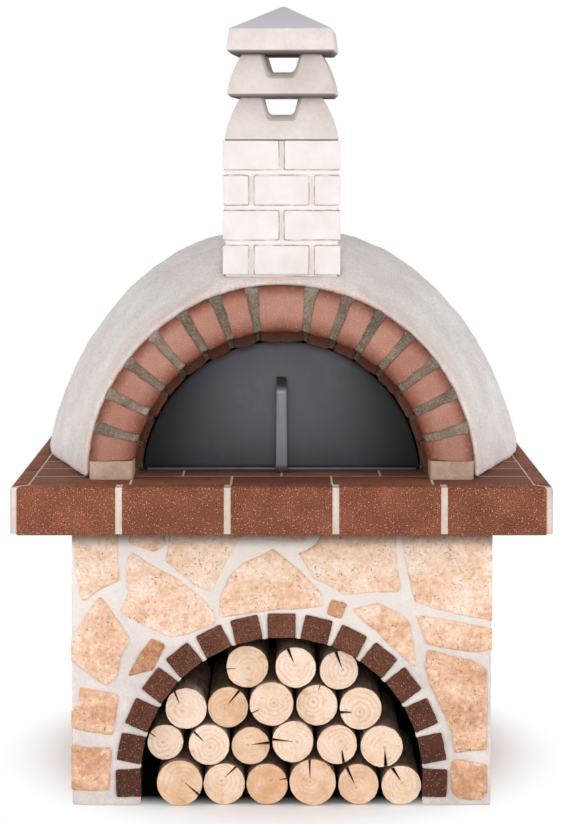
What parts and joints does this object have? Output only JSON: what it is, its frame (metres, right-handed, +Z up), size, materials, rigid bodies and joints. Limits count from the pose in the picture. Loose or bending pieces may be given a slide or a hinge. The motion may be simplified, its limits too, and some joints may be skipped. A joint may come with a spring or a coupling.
{
  "type": "wood fired pizza oven",
  "caption": "Domed wood fired pizza oven with a brick mouth arch, lift-out steel door and square chimney, on a tiled worktop over a stone clad stand with a log store.",
  "frame": {"origin": "on the ground under the middle of the worktop", "axes": "+X to the right seen from the front, +Y to the back (the mouth faces -Y), +Z up"},
  "size_m": [1.28, 1.28, 1.947],
  "materials": {
    "wall_block": "matt render",
    "dark_clinker": "fired, matt",
    "travertine": "honed, pitted",
    "facing_grout": "matt",
    "log_wood": "sawn ends, bark",
    "slab_concrete": "cast",
    "edge_clinker": "speckled, satin",
    "tile_grout": "matt",
    "deck_clinker": "speckled, satin",
    "insulation_board": "pressed fibre",
    "firebrick": "fired, matt",
    "arch_brick": "fired, matt",
    "arch_mortar": "matt",
    "foot_cast": "cast",
    "inner_brick": "sooted, matt",
    "inner_mortar": "sooted, matt",
    "refractory": "cast, matt",
    "fibre": "loose blanket",
    "render": "floated, matt",
    "chimney_cast": "cast, painted",
    "cowl_cast": "cast, painted",
    "cap_cast": "cast",
    "door_steel": "heat paint, satin",
    "door_back_steel": "mill",
    "handle_steel": "worn",
    "rivet_steel": "plain"
  },
  "bodies": {
    "oven": {"base_front_wall": "wall_block", "base_left_wall": "wall_block", "base_right_wall": "wall_block", "base_back_wall": "wall_block", "store_arch_clinkers": "dark_clinker", "front_stones": "travertine", "left_stones": "travertine", "right_stones": "travertine", "front_grout": "facing_grout", "left_grout": "facing_grout", "right_grout": "facing_grout", "hearth_slab": "slab_concrete", "edge_tiles_front": "edge_clinker", "edge_tiles_left": "edge_clinker", "edge_tiles_right": "edge_clinker", "edge_tiles_back": "edge_clinker", "edge_grout": "tile_grout", "deck_tiles": "deck_clinker", "deck_grout": "tile_grout", "floor_insulation_board": "insulation_board", "oven_floor_bricks": "firebrick", "arch_bricks": "arch_brick", "arch_mortar": "arch_mortar", "arch_foot_left": "foot_cast", "arch_foot_right": "foot_cast", "inner_arch_bricks": "inner_brick", "inner_arch_mortar": "inner_mortar", "vault_front_left": "refractory", "vault_front_right": "refractory", "vault_rear_left": "refractory", "vault_rear_right": "refractory", "vault_joints": "inner_mortar", "flue_collar": "refractory", "insulation_fill": "fibre", "render_shell": "render", "chimney_bead": "chimney_cast", "chimney_block": "chimney_cast", "cowl_lower": "cowl_cast", "cowl_upper": "cowl_cast", "cowl_cap": "cap_cast"},
    "door": {"door_sheet": "door_steel", "door_rim": "door_steel", "door_foot": "door_steel", "door_insulation": "fibre", "door_back_plate": "door_back_steel", "door_handle": "handle_steel", "door_studs": "rivet_steel"},
    "firewood": {"logs_bottom_row": "log_wood", "logs_third_row": "log_wood", "logs_second_row": "log_wood", "logs_top_row": "log_wood"}
  },
  "joints": [
    {"name": "door_slide", "type": "slide", "parent": "oven", "child": "door", "axis": [0, -1, 0], "range_m": [0, 0.45]},
    {"name": "firewood_slide", "type": "slide", "parent": "oven", "child": "firewood", "axis": [0, -1, 0], "range_m": [0, 0.42]}
  ]
}
